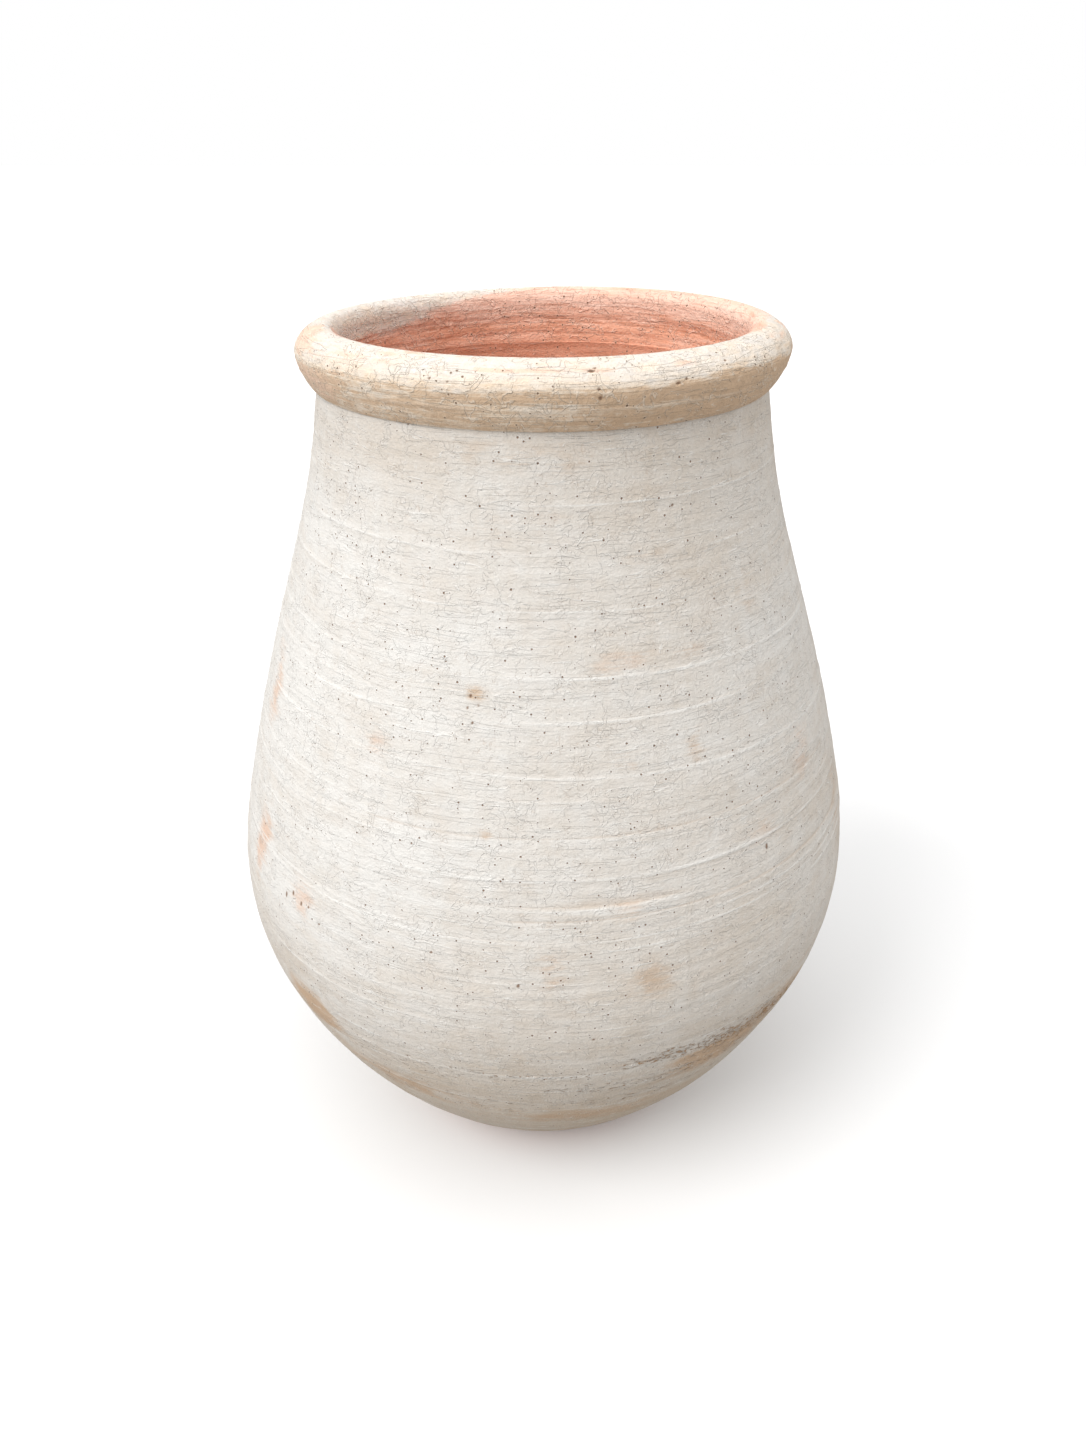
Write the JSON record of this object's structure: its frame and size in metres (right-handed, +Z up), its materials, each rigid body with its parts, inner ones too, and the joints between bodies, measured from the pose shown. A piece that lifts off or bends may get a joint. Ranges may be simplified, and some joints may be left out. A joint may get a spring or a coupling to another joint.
{
  "type": "greek pithos",
  "caption": "Tall open-mouthed storage jar of limewashed terracotta, with a narrow flat foot, a full belly, a drawn-in neck and a thick rolled rim.",
  "frame": {"origin": "centre of the foot's underside, on the floor", "axes": "+Z up along the jar's axis of turning; +X and +Y level, and alike because the jar is round"},
  "size_m": [0.7414, 0.7412, 1],
  "materials": {
    "limewashed_wall": "matt limewash over fired terracotta, with throwing lines, pinholes and tan clay tints",
    "limewashed_rim": "matt limewash worn back to beige clay, white along the crest",
    "inner_clay": "bare matt salmon terracotta, finger-grooved",
    "foot_clay": "bare matt beige terracotta, wire-cut and gritty"
  },
  "bodies": {
    "root": {"floor_disc": "foot_clay", "floor_corner_coil": "inner_clay", "foot_course": "limewashed_wall", "bowl_course": "limewashed_wall", "belly_course": "limewashed_wall", "shoulder_course": "limewashed_wall", "collar_course": "limewashed_wall", "neck_course": "limewashed_wall", "rim_roll": "limewashed_rim"}
  },
  "joints": []
}
